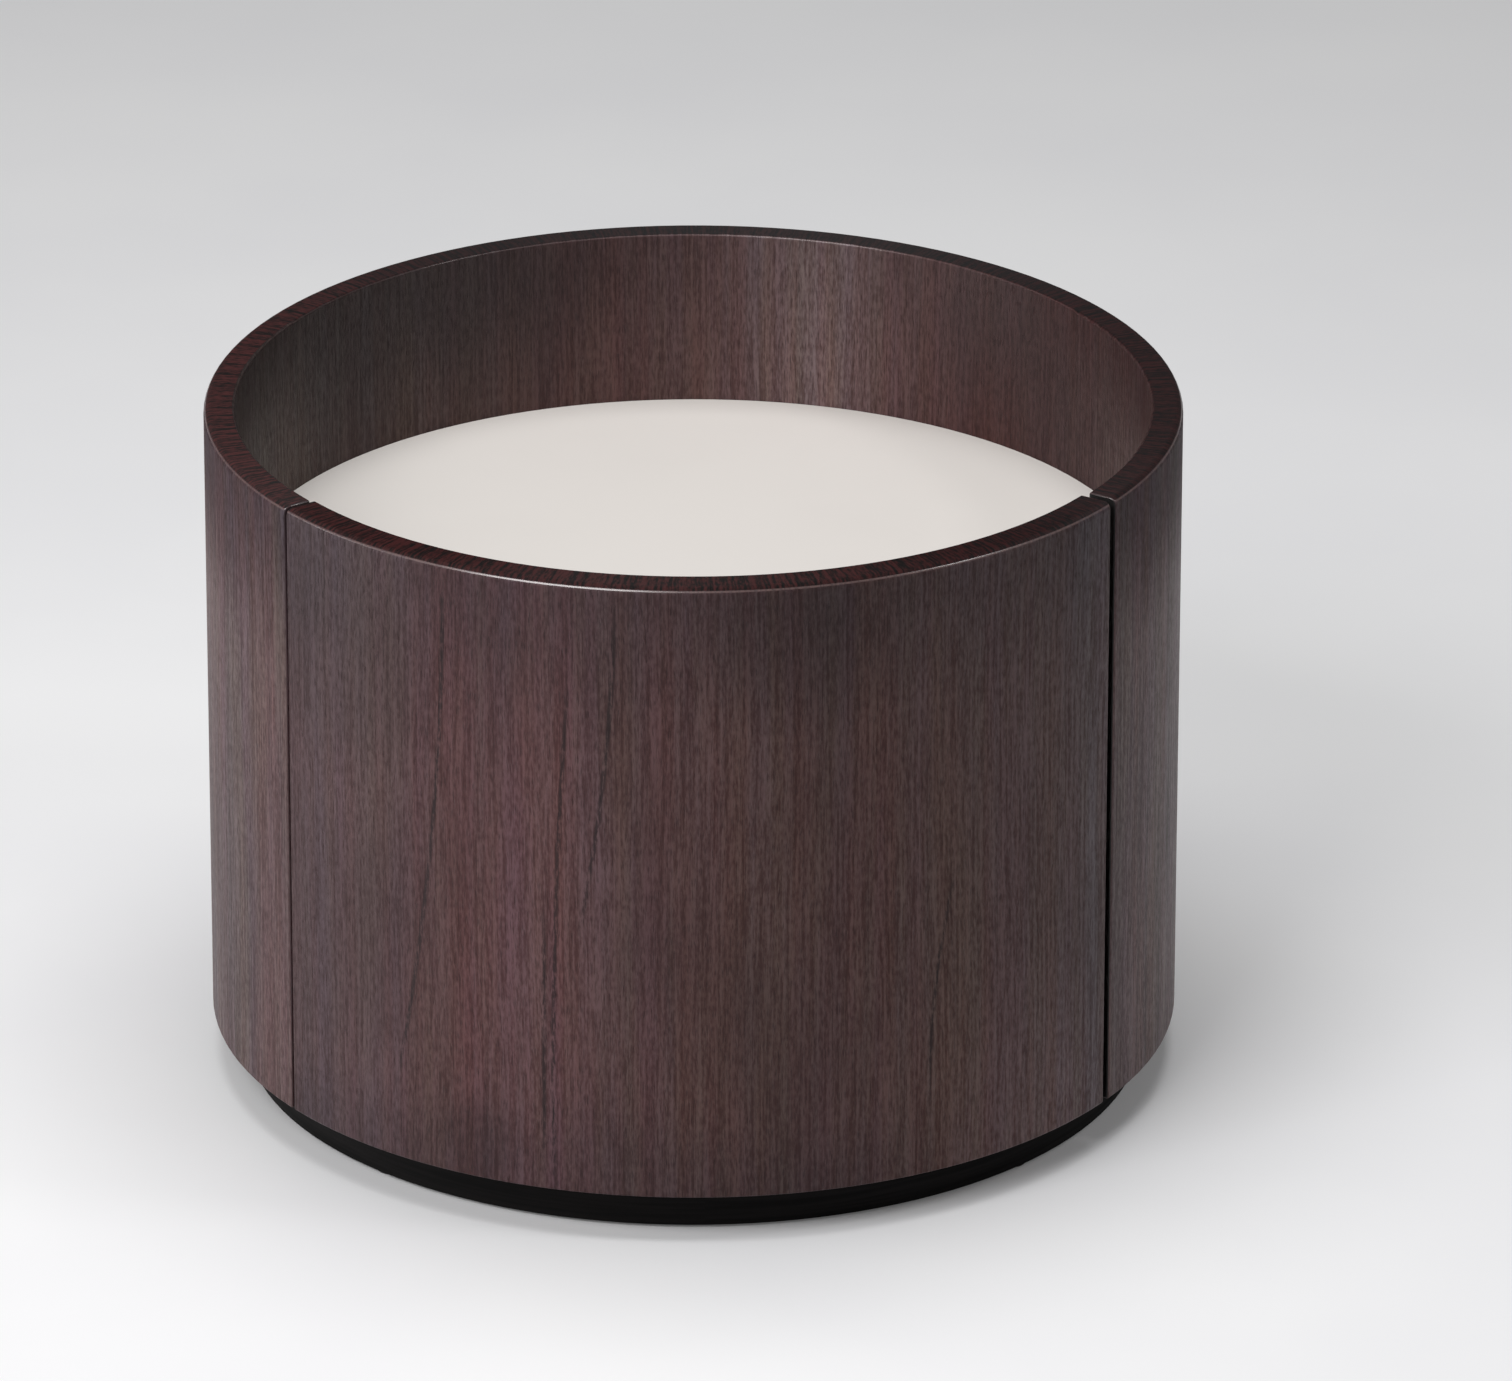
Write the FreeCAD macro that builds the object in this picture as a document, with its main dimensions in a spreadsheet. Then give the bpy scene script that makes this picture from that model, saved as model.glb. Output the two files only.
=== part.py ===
import FreeCAD, Part
import os
import Sketcher

# Round end table: a bent plywood shell with a recessed lacquered top, and a curved drawer at the front.
# Millimetres and degrees. +Z is up, the drawer opens towards -Y, and the origin is on the floor
# under the middle of the table.

SIZES = [
    # Shell and drawer front
    ("outer_radius", 280),
    ("wall", 18),
    ("front_wall", 20),
    ("shell_height", 372),
    ("edge_round", 1.6),
    ("rim_round", 4.5),
    ("front_half_angle", 56.5),
    ("left_gap", 1.6),
    ("right_gap", 5),
    ("front_clearance", 3),
    ("panel_fit", 0.2),
    # Top, bottom and plinth
    ("recess_depth", 105),
    ("top_thickness", 18),
    ("bottom_thickness", 18),
    ("plinth_height", 26),
    ("plinth_setback", 20),
    ("plinth_wall", 18),
    ("glide_height", 2),
    ("glide_radius", 8),
    ("glide_chamfer", 1),
    ("glide_pin_radius", 1.25),
    ("glide_pin_length", 12),
    # Boards inside the shell
    ("partition_thickness", 15),
    ("rear_thickness", 15),
    ("batten_width", 30),
    ("batten_setback", 2),
    ("batten_end_margin", 20),
    ("cleat_width", 25),
    ("cleat_height", 25),
    ("cleat_end_gap", 20),
    ("bumper_radius", 4),
    ("bumper_play", 0.6),
    ("bumper_inset", 60),
    # Drawer box
    ("drawer_lift", 14),
    ("drawer_headroom", 37),
    ("drawer_side_thickness", 12),
    ("drawer_back_thickness", 12),
    ("drawer_bottom_thickness", 6),
    ("groove_lift", 8),
    ("groove_depth", 6),
    ("groove_fit", 0.1),
    ("joint_fit", 0.1),
    ("block_width", 30),
    ("block_depth", 24),
    ("block_margin", 15),
    # Ball runners
    ("runner_length", 300),
    ("runner_height", 45),
    ("runner_width", 12.7),
    ("runner_sheet", 1.2),
    ("runner_lip", 1),
    ("runner_web_gap", 2.2),
    ("runner_end_margin", 22),
    ("cabinet_setback", 3.3),
    ("middle_setback", 2.1),
    ("drawer_flange", 6.9),
    ("ball_radius", 2),
    ("ball_play", 0.15),
    ("ball_pitch", 26),
    ("cage_length", 130),
    ("cage_sheet", 0.8),
    ("cage_rim", 0.7),
    # Screws
    ("screw_fit", 0.1),
    ("screw_cover", 6),
    ("screw_tip", 4),
    ("wood_screw_radius", 2),
    ("wood_screw_head_radius", 4),
    ("wood_screw_head_height", 2.4),
    ("board_screw_radius", 3.2),
    ("board_screw_head_radius", 5),
    ("board_screw_head_height", 3),
    ("board_screw_bite", 40),
    ("rear_screw_bite", 30),
    ("rear_screw_inset", 40),
    ("back_screw_inset", 20),
    ("back_screw_bite", 24),
    ("runner_screw_radius", 1.8),
    ("runner_screw_head_radius", 3.2),
    ("runner_screw_head_height", 1.4),
    ("runner_screw_bite", 9),
]

# Sizes that follow from the driving ones
DERIVED = [
    ("inner_radius", "sizes.outer_radius - sizes.wall"),
    ("front_inner", "sizes.outer_radius - sizes.front_wall"),
    ("shell_base", "sizes.glide_height + sizes.plinth_height"),
    ("shell_top", "shell_base + sizes.shell_height"),
    ("left_gap_angle", "180 / pi * sizes.left_gap / sizes.outer_radius"),
    ("right_gap_angle", "180 / pi * sizes.right_gap / sizes.outer_radius"),
    ("top_surface", "shell_top - sizes.recess_depth"),
    ("bay_ceiling", "top_surface - sizes.top_thickness"),
    ("bay_floor", "shell_base + sizes.bottom_thickness"),
    ("bay_height", "bay_ceiling - bay_floor"),
    ("plinth_middle", "sizes.outer_radius - sizes.plinth_setback - sizes.plinth_wall / 2"),
    # The partitions stand as far apart as the runners' length leaves room for in the round shell
    ("bay_half_depth", "sizes.runner_length / 2 + sizes.runner_end_margin"),
    ("opening_half", "inner_radius * sin(sizes.front_half_angle)"),
    ("partition_outer", "min(sqrt(inner_radius^2 - bay_half_depth^2); opening_half)"),
    ("bay_half", "partition_outer - sizes.partition_thickness"),
    ("partition_front", "sqrt((front_inner - sizes.front_clearance)^2 - partition_outer^2)"),
    ("partition_back", "bay_half_depth - sizes.panel_fit"),
    ("shell_end_reach", "inner_radius * cos(sizes.front_half_angle) - sizes.batten_setback"),
    ("batten_face", "min(shell_end_reach; bay_half_depth - sizes.batten_end_margin)"),
    ("cleat_half", "batten_face - sizes.batten_width - sizes.cleat_end_gap"),
    ("drawer_half", "bay_half - sizes.runner_width"),
    ("drawer_inner_half", "drawer_half - sizes.drawer_side_thickness"),
    ("drawer_base", "bay_floor + sizes.drawer_lift"),
    ("drawer_top", "bay_ceiling - sizes.drawer_headroom"),
    ("drawer_side_height", "drawer_top - drawer_base"),
    ("drawer_rear", "sizes.runner_length / 2"),
    ("board_under", "drawer_base + sizes.groove_lift"),
    ("board_over", "board_under + sizes.drawer_bottom_thickness"),
    ("board_half", "drawer_inner_half + sizes.groove_depth - sizes.groove_fit"),
    ("groove_radius", "front_inner + sizes.groove_depth"),
    ("groove_half_angle", "asin((drawer_inner_half + 2 * sizes.groove_depth) / groove_radius)"),
    ("block_back", "sqrt(front_inner^2 - drawer_inner_half^2) - sizes.block_depth"),
    ("block_inner", "drawer_inner_half - sizes.block_width"),
    ("block_middle", "drawer_inner_half - sizes.block_width / 2"),
    ("block_base", "board_over + sizes.block_margin"),
    ("block_height", "drawer_top - sizes.block_margin - block_base"),
    # Runner section: reach is measured from the partition, and rise from the runner's middle
    ("runner_level", "drawer_base + drawer_side_height / 2"),
    ("pocket_radius", "sizes.ball_radius + sizes.ball_play"),
    ("ball_space", "2 * pocket_radius"),
    ("cage_half", "pocket_radius + sizes.cage_rim"),
    ("cabinet_rise", "sizes.runner_height / 2"),
    ("middle_rise", "cabinet_rise - sizes.runner_sheet - ball_space"),
    ("drawer_rise", "middle_rise - sizes.runner_sheet - ball_space"),
    ("cabinet_reach", "sizes.runner_width - sizes.cabinet_setback"),
    ("middle_web", "sizes.runner_sheet + sizes.runner_web_gap"),
    ("middle_reach", "sizes.runner_width - sizes.middle_setback"),
    ("drawer_flange_start", "sizes.runner_width - sizes.drawer_flange"),
    ("outer_ball_reach", "cabinet_reach - sizes.runner_sheet - sizes.ball_radius"),
    ("outer_ball_rise", "middle_rise + ball_space / 2"),
    ("inner_ball_reach", "(drawer_flange_start + middle_reach) / 2"),
    ("inner_ball_rise", "drawer_rise + ball_space / 2"),
]

SIDES = {"left": -1, "right": 1}

doc = FreeCAD.newDocument("round_end_table")
nodes = []


def fill_sheet(name, rows, prefix):
    sheet = doc.addObject("Spreadsheet::Sheet", name)
    for row, (alias, value) in enumerate(rows, start=1):
        sheet.set(f"A{row}", alias)
        sheet.set(f"B{row}", f"{prefix}{value}")
        sheet.setAlias(f"B{row}", alias)
    doc.recompute()
    return sheet


sizes = fill_sheet("sizes", SIZES, "")
derived = fill_sheet("derived", DERIVED, "=")


def value_of(expression):
    return float(sizes.evalExpression(expression))


def bind(obj, **expressions):
    for name, expression in expressions.items():
        obj.setExpression(name, expression)
    return obj


def place(obj, x="0", y="0", z="0"):
    for axis, expression in zip("xyz", (x, y, z)):
        obj.setExpression(f"Placement.Base.{axis}", expression)
    return obj


def keep(label, obj):
    obj.Label = label
    nodes.append(obj)
    return obj


# Building blocks

def box(name, low, size):
    solid = doc.addObject("Part::Box", name)
    bind(solid, Length=size[0], Width=size[1], Height=size[2])
    return place(solid, *low)


def cylinder(name, radius, height, x="0", y="0", z="0"):
    solid = doc.addObject("Part::Cylinder", name)
    bind(solid, Radius=radius, Height=height)
    return place(solid, x, y, z)


def cone(name, low_radius, high_radius, height, z="0"):
    solid = doc.addObject("Part::Cone", name)
    bind(solid, Radius1=low_radius, Radius2=high_radius, Height=height)
    return place(solid, z=z)


def group(name, members):
    compound = doc.addObject("Part::Compound", name)
    compound.Links = members
    return compound


def fused(name, members):
    solid = doc.addObject("Part::MultiFuse", name)
    solid.Shapes = members
    return solid


def minus(name, base, tools):
    solid = doc.addObject("Part::Cut", name)
    solid.Base = base
    solid.Tool = group(f"{name}_tools", tools)
    return solid


def inside_round(name, base, radius, low, height):
    """The part of base that lies within an upright cylinder."""
    solid = doc.addObject("Part::Common", name)
    solid.Base = base
    solid.Tool = cylinder(f"{name}_round", radius, height, z=low)
    return solid


def new_body(name):
    return doc.addObject("PartDesign::Body", name)


def new_sketch(body, plane, level=None):
    sketch = body.newObject("Sketcher::SketchObject", f"{body.Name}_sketch")
    planes = {feature.Role: feature for feature in body.Origin.OriginFeatures}
    sketch.AttachmentSupport = (planes[plane], [""])
    sketch.MapMode = "FlatFace"
    if level:
        sketch.setExpression("AttachmentOffset.Base.z", level)
    return sketch


def draw_outline(sketch, corners):
    """A closed outline of straight lines, with every corner bound to its two expressions."""
    points = [FreeCAD.Vector(value_of(x), value_of(y), 0) for x, y in corners]
    count = len(points)
    for index in range(count):
        sketch.addGeometry(Part.LineSegment(points[index], points[(index + 1) % count]))
    for index in range(count):
        sketch.addConstraint(Sketcher.Constraint("Coincident", index, 2, (index + 1) % count, 1))
    for index, corner in enumerate(corners):
        for kind, expression in zip(("DistanceX", "DistanceY"), corner):
            number = sketch.addConstraint(
                Sketcher.Constraint(kind, -1, 1, index, 1, value_of(expression)))
            sketch.setExpression(f"Constraints[{number}]", expression)


def draw_circle(sketch, radius):
    sketch.addGeometry(Part.Circle(FreeCAD.Vector(0, 0, 0), FreeCAD.Vector(0, 0, 1), value_of(radius)))
    index = sketch.GeometryCount - 1
    sketch.addConstraint(Sketcher.Constraint("Coincident", index, 3, -1, 1))
    number = sketch.addConstraint(Sketcher.Constraint("Radius", index, value_of(radius)))
    sketch.setExpression(f"Constraints[{number}]", radius)


def ring_section(body, inner, outer, low, high):
    """A rectangle in the YZ plane, to be turned about Z."""
    sketch = new_sketch(body, "YZ_Plane")
    draw_outline(sketch, [(inner, low), (outer, low), (outer, high), (inner, high)])
    return sketch


def turn(body, kind, sketch, angle):
    """Turn a section about Z by an angle that is halved by the section's own plane."""
    feature = body.newObject(f"PartDesign::{kind}", f"{body.Name}_{kind.lower()}")
    feature.Profile = (sketch, [""])
    feature.ReferenceAxis = (sketch, ["V_Axis"])
    feature.Midplane = True
    feature.setExpression("Angle", angle)
    doc.recompute()
    return feature


def pad(body, sketch, length, symmetric=False):
    feature = body.newObject("PartDesign::Pad", f"{body.Name}_pad")
    feature.Profile = (sketch, [""])
    feature.setExpression("Length", length)
    if symmetric:
        feature.SideType = "Symmetric"
    doc.recompute()
    return feature


def round_edges(body, name, feature, edges, radius):
    rounding = body.newObject("PartDesign::Fillet", f"{body.Name}_{name}")
    rounding.Base = (feature, [f"Edge{number}" for number in edges])
    rounding.setExpression("Radius", radius)
    doc.recompute()
    return rounding


def round_wall(body, feature):
    """Round the outer top edge of a bent wall, and then its other edges a little less."""
    arcs = {number: edge.Curve for number, edge in enumerate(feature.Shape.Edges, start=1)
            if isinstance(edge.Curve, Part.Circle)}
    rim_edge = max(arcs, key=lambda number: arcs[number].Center.z + arcs[number].Radius)
    rimmed = round_edges(body, "rim", feature, [rim_edge], "sizes.rim_round")
    others = range(1, len(rimmed.Shape.Edges) + 1)
    return round_edges(body, "rounding", rimmed, others, "sizes.edge_round")


# Screws: each kind is made once, pointing up from the top of its head, and then set in its places.
# A screw and the hole for it come from the same values.

TURNS = {
    "+x": FreeCAD.Rotation(FreeCAD.Vector(0, 1, 0), 90),
    "-x": FreeCAD.Rotation(FreeCAD.Vector(0, 1, 0), -90),
    "-y": FreeCAD.Rotation(FreeCAD.Vector(1, 0, 0), 90),
    "+z": FreeCAD.Rotation(FreeCAD.Vector(0, 0, 1), 0),
}


def screw_shape(name, kind, length, extra):
    radius = f"sizes.{kind}_radius + {extra}"
    head_radius = f"sizes.{kind}_head_radius + {extra}"
    head_height = f"sizes.{kind}_head_height"
    straight = f"{length} - sizes.screw_tip + {extra}"
    if kind == "runner_screw":
        head = cylinder(f"{name}_head", head_radius, head_height)
    else:
        head = cone(f"{name}_head", head_radius, radius, head_height)
    shank = cylinder(f"{name}_shank", radius, straight)
    tip = cone(f"{name}_tip", radius, f"({radius}) / 2", "sizes.screw_tip", z=straight)
    return fused(f"{name}_shape", [head, shank, tip])


def set_in_places(name, shape, places):
    copies = []
    for number, (direction, x, y, z) in enumerate(places):
        copy = group(f"{name}_{number}", [shape])
        copy.Placement = FreeCAD.Placement(FreeCAD.Vector(0, 0, 0), TURNS[direction])
        copies.append(place(copy, x, y, z))
    return copies


def screws(label, kind, length, places):
    """Make the node of one kind of screw, and return the holes that it needs."""
    shape = screw_shape(label, kind, length, "0")
    keep(label, group(f"{label}_all", set_in_places(label, shape, places)))
    hole = screw_shape(f"{label}_hole", kind, length, "sizes.screw_fit")
    return set_in_places(f"{label}_hole", hole, places)


def holes_by_side(holes, places):
    """Sort holes by the side of the table that they are on, which is the sign of x."""
    sorted_holes = {sign: [] for sign in SIDES.values()}
    for hole, (_, x, _, _) in zip(holes, places):
        sorted_holes[1 if value_of(x) > 0 else -1].append(hole)
    return sorted_holes


def across(sign, expression):
    return f"{sign} * ({expression})"


def inward(sign):
    return "-x" if sign > 0 else "+x"


def outward(sign):
    return "+x" if sign > 0 else "-x"


def low_corner(sign, near, far):
    """The lower x of a piece that reaches from near to far on one side of the table."""
    return across(sign, near if sign > 0 else far)


def around(radius, angle):
    return f"{radius} * cos({angle})", f"{radius} * sin({angle})"


# Shell, panels and plinth

def make_shell():
    body = new_body("shell")
    section = ring_section(body, "derived.inner_radius", "sizes.outer_radius",
                           "derived.shell_base", "derived.shell_top")
    solid = turn(body, "Revolution", section, "360 - 2 * sizes.front_half_angle")
    round_wall(body, solid)
    keep("carcass_shell", body)


def make_round_panel(name, low, thickness):
    """A round panel that fits the shell at the back and stands clear of the drawer front."""
    body = new_body(name)
    outline = new_sketch(body, "XY_Plane", level=low)
    draw_circle(outline, "derived.front_inner - sizes.front_clearance")
    pad(body, outline, thickness)
    section = ring_section(body, "derived.front_inner - 4 * sizes.front_clearance",
                           "derived.inner_radius - sizes.panel_fit", low, f"{low} + {thickness}")
    turn(body, "Revolution", section, "360 - 2 * sizes.front_half_angle")
    return body


def make_plinth():
    body = new_body("plinth")
    outline = new_sketch(body, "XY_Plane", level="sizes.glide_height")
    draw_circle(outline, "derived.plinth_middle + sizes.plinth_wall / 2")
    draw_circle(outline, "derived.plinth_middle - sizes.plinth_wall / 2")
    pad(body, outline, "sizes.plinth_height")
    return body


def make_glide_shape(name, extra):
    foot = cone(f"{name}_foot", "sizes.glide_radius - sizes.glide_chamfer", "sizes.glide_radius",
                "sizes.glide_chamfer")
    cap = cylinder(f"{name}_cap", "sizes.glide_radius", "sizes.glide_height - sizes.glide_chamfer",
                   z="sizes.glide_chamfer")
    pin = cylinder(f"{name}_pin", f"sizes.glide_pin_radius + {extra}",
                   f"sizes.glide_height + sizes.glide_pin_length + {extra}")
    return fused(f"{name}_shape", [foot, cap, pin])


def make_glides():
    places = []
    for angle in (45, 135, 225, 315):
        x, y = around("derived.plinth_middle", angle)
        places.append(("+z", x, y, "0"))
    keep("floor_glides", group("glides", set_in_places("glide", make_glide_shape("glide", "0"), places)))
    return set_in_places("glide_hole", make_glide_shape("glide_hole", "sizes.screw_fit"), places)


def make_base():
    places = []
    for angle in range(0, 360, 60):
        x, y = around("derived.plinth_middle", angle)
        places.append(("+z", x, y, "sizes.glide_height"))
    length = "sizes.plinth_height + sizes.bottom_thickness - sizes.screw_cover"
    plinth_holes = screws("plinth_screws", "wood_screw", length, places)
    glide_holes = make_glides()
    keep("plinth_ring", minus("plinth_drilled", make_plinth(), plinth_holes + glide_holes))

    partition_middle = "derived.partition_outer - sizes.partition_thickness / 2"
    places = []
    for sign in SIDES.values():
        for step in (-0.7, 0, 0.7):
            places.append(("+z", across(sign, partition_middle), f"{step} * derived.bay_half_depth",
                           "derived.shell_base"))
    length = "sizes.bottom_thickness + sizes.board_screw_bite"
    partition_holes = screws("partition_screws", "board_screw", length, places)
    board = make_round_panel("bottom_board", "derived.shell_base", "sizes.bottom_thickness")
    keep("bottom_panel", minus("bottom_drilled", board, plinth_holes + partition_holes))
    return holes_by_side(partition_holes, places)


def make_bumpers():
    """Soft dots on the two ends of the shell, which set the seams beside the drawer front."""
    turned = []
    middle = "derived.inner_radius + sizes.wall / 2"
    for side, sign in SIDES.items():
        dots = []
        for level in ("derived.shell_base + sizes.bumper_inset", "derived.shell_top - sizes.bumper_inset"):
            dot = cylinder(f"bumper_{side}_{len(dots)}", "sizes.bumper_radius",
                           f"sizes.{side}_gap - sizes.bumper_play", middle, "0", level)
            dot.Placement.Rotation = FreeCAD.Rotation(FreeCAD.Vector(1, 0, 0), 90 * sign)
            dots.append(dot)
        pair = group(f"bumpers_{side}", dots)
        pair.Placement.Rotation = FreeCAD.Rotation(FreeCAD.Vector(0, 0, 1), 1)
        pair.setExpression("Placement.Rotation.Angle", f"270 + {sign} * sizes.front_half_angle")
        turned.append(pair)
    keep("seam_bumpers", group("bumpers", turned))


# Boards inside the shell

def make_top():
    """The recessed top, held from below by a cleat along each partition."""
    top_places = []
    side_places = []
    middle = "derived.partition_outer + sizes.cleat_width / 2"
    outer = "derived.partition_outer + sizes.cleat_width"
    low = "derived.bay_ceiling - sizes.cleat_height"
    level = "derived.bay_ceiling - sizes.cleat_height / 2"
    for sign in SIDES.values():
        for step in (-0.7, 0, 0.7):
            top_places.append(("+z", across(sign, middle), f"{step} * derived.cleat_half", low))
        for step in (-0.35, 0.35):
            side_places.append((inward(sign), across(sign, outer), f"{step} * derived.cleat_half", level))
    length = "sizes.cleat_height + sizes.top_thickness - sizes.screw_cover"
    top_holes = screws("cleat_top_screws", "wood_screw", length, top_places)
    length = "sizes.cleat_width + sizes.partition_thickness - sizes.screw_cover"
    side_holes = screws("cleat_side_screws", "wood_screw", length, side_places)

    top_holes_by_side = holes_by_side(top_holes, top_places)
    side_holes_by_side = holes_by_side(side_holes, side_places)
    size = ("sizes.cleat_width", "2 * derived.cleat_half", "sizes.cleat_height")
    for side, sign in SIDES.items():
        corner = (low_corner(sign, "derived.partition_outer", outer), "-derived.cleat_half", low)
        cleat = box(f"cleat_{side}", corner, size)
        drills = top_holes_by_side[sign] + side_holes_by_side[sign]
        keep(f"top_cleat_{side}", minus(f"cleat_{side}_drilled", cleat, drills))
    board = make_round_panel("top_board", "derived.bay_ceiling", "sizes.top_thickness")
    keep("top_panel", minus("top_drilled", board, top_holes))
    return side_holes_by_side


def make_rear():
    places = []
    middle = "derived.partition_back - sizes.rear_thickness / 2"
    for sign in SIDES.values():
        for level in ("derived.bay_floor + sizes.rear_screw_inset",
                      "derived.bay_ceiling - sizes.rear_screw_inset"):
            places.append((inward(sign), across(sign, "derived.partition_outer"), middle, level))
    length = "sizes.partition_thickness + sizes.rear_screw_bite"
    holes = screws("rear_panel_screws", "wood_screw", length, places)
    corner = ("-derived.bay_half", "derived.partition_back - sizes.rear_thickness", "derived.bay_floor")
    board = box("rear_board", corner, ("2 * derived.bay_half", "sizes.rear_thickness", "derived.bay_height"))
    keep("rear_panel", minus("rear_drilled", board, holes))
    return holes_by_side(holes, places)


def make_partition(side, sign, drills):
    corner = (low_corner(sign, "derived.bay_half", "derived.partition_outer"),
              "-derived.partition_front", "derived.bay_floor")
    size = ("sizes.partition_thickness", "derived.partition_front + derived.partition_back",
            "derived.bay_height")
    board = box(f"partition_{side}", corner, size)
    keep(f"{side}_partition", minus(f"partition_{side}_drilled", board, drills))


def make_battens(side, sign):
    """Upright battens between a partition and the shell, cut to the shell's curve."""
    depths = {"front": "-derived.batten_face", "rear": "derived.batten_face - sizes.batten_width"}
    for end, start in depths.items():
        name = f"{end}_batten_{side}"
        corner = (low_corner(sign, "derived.partition_outer", "derived.inner_radius"),
                  start, "derived.bay_floor")
        size = ("derived.inner_radius - derived.partition_outer", "sizes.batten_width",
                "derived.bay_height")
        blank = box(f"{name}_blank", corner, size)
        keep(name, inside_round(f"{name}_cut", blank, "derived.inner_radius - sizes.panel_fit",
                                "derived.bay_floor", "derived.bay_height"))


# Drawer

def make_drawer_front(drills):
    body = new_body("front")
    section = ring_section(body, "-derived.front_inner", "-sizes.outer_radius",
                           "derived.shell_base", "derived.shell_top")
    solid = turn(body, "Revolution", section,
                 "2 * sizes.front_half_angle - derived.left_gap_angle - derived.right_gap_angle")
    rounded = round_wall(body, solid)
    groove = ring_section(body, "-derived.front_inner + sizes.groove_depth", "-derived.groove_radius",
                          "derived.board_under - sizes.groove_fit", "derived.board_over + sizes.groove_fit")
    cut = turn(body, "Groove", groove, "2 * derived.groove_half_angle")
    if cut.Shape.Volume >= rounded.Shape.Volume:
        raise RuntimeError("the groove of the drawer front removed nothing")
    # The seams differ, so the front is turned from the middle towards the narrow one
    body.Placement.Rotation = FreeCAD.Rotation(FreeCAD.Vector(0, 0, 1), 1)
    body.setExpression("Placement.Rotation.Angle",
                       "360 + (derived.left_gap_angle - derived.right_gap_angle) / 2")
    keep("drawer_front", minus("front_drilled", body, drills))


def make_drawer_side(side, sign, drills):
    corner = (low_corner(sign, "derived.drawer_inner_half", "derived.drawer_half"),
              "-derived.front_inner", "derived.drawer_base")
    size = ("sizes.drawer_side_thickness", "derived.front_inner + derived.drawer_rear",
            "derived.drawer_side_height")
    blank = box(f"side_{side}_blank", corner, size)
    board = inside_round(f"side_{side}_board", blank, "derived.front_inner - sizes.joint_fit",
                         "derived.drawer_base", "derived.drawer_side_height")
    corner = (low_corner(sign, "derived.drawer_inner_half - sizes.groove_depth",
                         "derived.drawer_inner_half + sizes.groove_depth"),
              "-sizes.outer_radius", "derived.board_under - sizes.groove_fit")
    size = ("2 * sizes.groove_depth", "2 * sizes.outer_radius",
            "sizes.drawer_bottom_thickness + 2 * sizes.groove_fit")
    groove = box(f"side_{side}_groove", corner, size)
    keep(f"drawer_side_{side}", minus(f"side_{side}_drilled", board, [groove] + drills))


def make_drawer_back():
    """The back stands on the bottom board, between the sides."""
    side_places = []
    middle = "derived.drawer_rear - sizes.drawer_back_thickness / 2"
    for sign in SIDES.values():
        for level in ("derived.board_over + sizes.back_screw_inset",
                      "derived.drawer_top - sizes.back_screw_inset"):
            side_places.append((inward(sign), across(sign, "derived.drawer_half"), middle, level))
    side_holes = screws("drawer_back_screws", "wood_screw",
                        "sizes.drawer_side_thickness + sizes.back_screw_bite", side_places)
    floor_places = []
    for step in (-0.6, 0, 0.6):
        floor_places.append(("+z", f"{step} * derived.drawer_inner_half", middle, "derived.board_under"))
    floor_holes = screws("drawer_bottom_screws", "wood_screw",
                         "sizes.drawer_bottom_thickness + sizes.back_screw_bite", floor_places)

    corner = ("-derived.drawer_inner_half", "derived.drawer_rear - sizes.drawer_back_thickness",
              "derived.board_over")
    size = ("2 * derived.drawer_inner_half", "sizes.drawer_back_thickness",
            "derived.drawer_top - derived.board_over")
    keep("drawer_back", minus("back_drilled", box("back_board", corner, size), side_holes + floor_holes))

    corner = ("-derived.board_half", "-sizes.outer_radius", "derived.board_under")
    size = ("2 * derived.board_half", "sizes.outer_radius + derived.drawer_rear",
            "sizes.drawer_bottom_thickness")
    board = inside_round("bottom_sheet", box("bottom_sheet_blank", corner, size),
                         "derived.groove_radius - sizes.groove_fit", "derived.board_under",
                         "sizes.drawer_bottom_thickness")
    keep("drawer_bottom", minus("bottom_sheet_drilled", board, floor_holes))
    return holes_by_side(side_holes, side_places)


def make_corner_blocks():
    """Blocks that hold the drawer sides to the curved front, with screws both ways."""
    front_places = []
    side_places = []
    for sign in SIDES.values():
        for step in (0.2, 0.8):
            level = f"derived.block_base + {step} * derived.block_height"
            front_places.append(("-y", across(sign, "derived.block_middle"), "-derived.block_back", level))
        for step in (0.38, 0.62):
            level = f"derived.block_base + {step} * derived.block_height"
            depth = "-derived.block_back - sizes.block_depth / 2"
            side_places.append((outward(sign), across(sign, "derived.block_inner"), depth, level))
    reach = "sqrt(derived.front_inner^2 - derived.block_middle^2) - derived.block_back"
    front_holes = screws("block_front_screws", "wood_screw",
                         f"{reach} + sizes.front_wall - sizes.screw_cover", front_places)
    side_holes = screws("block_side_screws", "wood_screw",
                        "sizes.block_width + sizes.drawer_side_thickness - sizes.screw_cover", side_places)
    front_holes_by_side = holes_by_side(front_holes, front_places)
    side_holes_by_side = holes_by_side(side_holes, side_places)
    for side, sign in SIDES.items():
        corner = (low_corner(sign, "derived.block_inner", "derived.drawer_inner_half"),
                  "-derived.front_inner", "derived.block_base")
        size = ("sizes.block_width", "derived.front_inner - derived.block_back", "derived.block_height")
        blank = box(f"block_{side}_blank", corner, size)
        block = inside_round(f"block_{side}", blank, "derived.front_inner - sizes.joint_fit",
                             "derived.block_base", "derived.block_height")
        drills = front_holes_by_side[sign] + side_holes_by_side[sign]
        keep(f"corner_block_{side}", minus(f"block_{side}_drilled", block, drills))
    return front_holes, side_holes_by_side


# Ball runners

def runner_point(sign, reach, rise):
    return across(sign, f"derived.bay_half - ({reach})"), f"derived.runner_level + ({rise})"


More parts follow.
